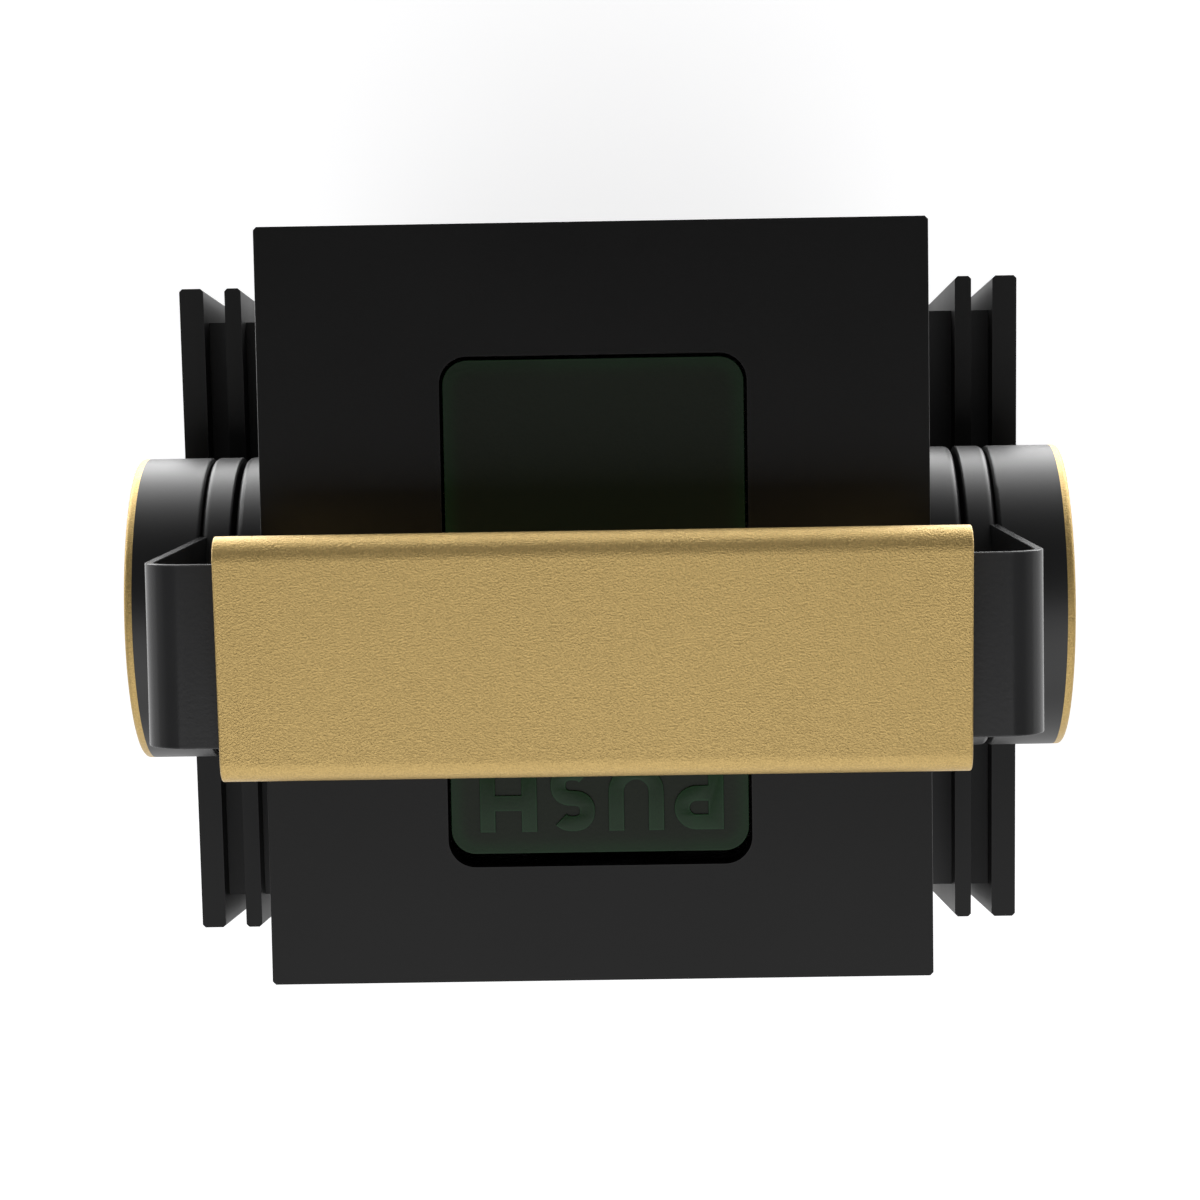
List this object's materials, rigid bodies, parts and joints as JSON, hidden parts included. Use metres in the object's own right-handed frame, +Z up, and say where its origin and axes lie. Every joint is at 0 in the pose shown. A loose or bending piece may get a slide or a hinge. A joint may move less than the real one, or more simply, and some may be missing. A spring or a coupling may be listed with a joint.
{
  "type": "shot dispenser tower",
  "caption": "Free-standing drink tower with side fins, a glass niche, a push paddle that works a dosing pump, and a swinging strap handle on round hubs.",
  "frame": {"origin": "on the floor, under the middle of the base plate", "axes": "+Z up, -Y the front with the glass niche, +X to the right as seen from the front"},
  "size_m": [0.1832, 0.153, 0.444],
  "materials": {
    "black_body": "satin black anodised and coated aluminium",
    "black_fin": "satin black anodised aluminium plate",
    "fin_core": "matt black spacer plate",
    "black_hub": "turned and satin black anodised",
    "black_strap": "semi-gloss black powder coat on steel strip",
    "gold_coat": "gold powder coat with orange-peel grain",
    "green_paddle": "dark green moulded plastic, satin",
    "black_plastic": "matt black moulded plastic",
    "black_screw": "black oxide",
    "bright_steel": "brushed stainless steel",
    "clear_plastic": "clear moulded plastic",
    "black_rubber": "black rubber",
    "magnet": "black coated magnet"
  },
  "bodies": {
    "tower": {"feet": "black_rubber", "base_plate": "black_body", "front_panel": "black_body", "side_panel_left": "black_body", "side_panel_right": "black_body", "head_shell": "black_body", "niche_liner": "black_plastic", "spout": "bright_steel", "pump_deck": "bright_steel", "tie_rods": "bright_steel", "tie_nuts": "bright_steel", "fin_spacer_inner_left": "fin_core", "fin_spacer_inner_right": "fin_core", "fin_inner_left": "black_fin", "fin_inner_right": "black_fin", "fin_spacer_outer_left": "fin_core", "fin_spacer_outer_right": "fin_core", "fin_outer_left": "black_fin", "fin_outer_right": "black_fin", "fin_screws": "black_screw", "hub_boss_left": "black_hub", "hub_boss_right": "black_hub", "hub_washers": "black_rubber", "pivot_bolts": "bright_steel", "pivot_nuts": "bright_steel", "tank": "clear_plastic", "dip_tube": "clear_plastic", "valve_block": "clear_plastic", "inlet_valve": "black_rubber", "outlet_valve": "black_rubber", "outlet_barb": "bright_steel", "pump_cylinder": "clear_plastic", "pump_cap": "black_plastic", "outlet_hose": "black_plastic", "paddle_brackets": "black_screw", "paddle_pin": "black_screw", "door_pins": "bright_steel", "door_magnet": "magnet", "return_spring": "bright_steel"},
    "handle": {"handle_strap": "black_strap", "handle_sleeve": "gold_coat", "hub_flange_left": "black_hub", "hub_flange_right": "black_hub", "hub_drum_left": "black_hub", "hub_drum_right": "black_hub", "hub_trim_left": "gold_coat", "hub_trim_right": "gold_coat", "hub_cap_left": "black_hub", "hub_cap_right": "black_hub", "hub_dowels": "bright_steel"},
    "paddle": {"push_paddle": "green_paddle"},
    "plunger": {"plunger_rod": "bright_steel", "piston": "black_plastic", "piston_seal": "black_rubber"},
    "door": {"rear_door": "black_body", "door_knob": "gold_coat", "door_strike": "bright_steel"},
    "tray": {"drip_tray": "black_plastic"},
    "grille": {"drip_grille": "bright_steel"},
    "tank_lid": {"tank_cap": "black_plastic"}
  },
  "joints": [
    {"name": "handle_swing", "type": "hinge", "parent": "tower", "child": "handle", "pos_m": [0, -0.0005, 0.3333], "axis": [1, 0, 0], "range_deg": [-90, 35]},
    {"name": "paddle_press", "type": "hinge", "parent": "tower", "child": "paddle", "pos_m": [0, -0.03946, 0.39168], "axis": [-1, 0, 0], "range_deg": [0, 10], "stiffness_Nm_per_rad": 2.5, "springref_deg": -6.88},
    {"name": "plunger_slide", "type": "slide", "parent": "tower", "child": "plunger", "axis": [0, 0, -1], "range_m": [0, 0.01225], "deforming": ["return_spring"]},
    {"name": "door_swing", "type": "hinge", "parent": "tower", "child": "door", "pos_m": [0.0504, 0.06625, 0.1575], "axis": [0, 0, -1], "range_deg": [0, 110]},
    {"name": "tray_slide", "type": "slide", "parent": "tower", "child": "tray", "axis": [0, -1, 0], "range_m": [0, 0.05]},
    {"name": "grille_lift", "type": "slide", "parent": "tray", "child": "grille", "axis": [0, 0, 1], "range_m": [0, 0.03]},
    {"name": "cap_turn", "type": "hinge", "parent": "tower", "child": "tank_lid", "pos_m": [0, 0.027, 0.262], "axis": [0, 0, 1], "range_deg": [0, 90]}
  ],
  "couplings": [
    {"joint": "plunger_slide", "follows": "paddle_press", "m_per_rad": 0.06904}
  ]
}
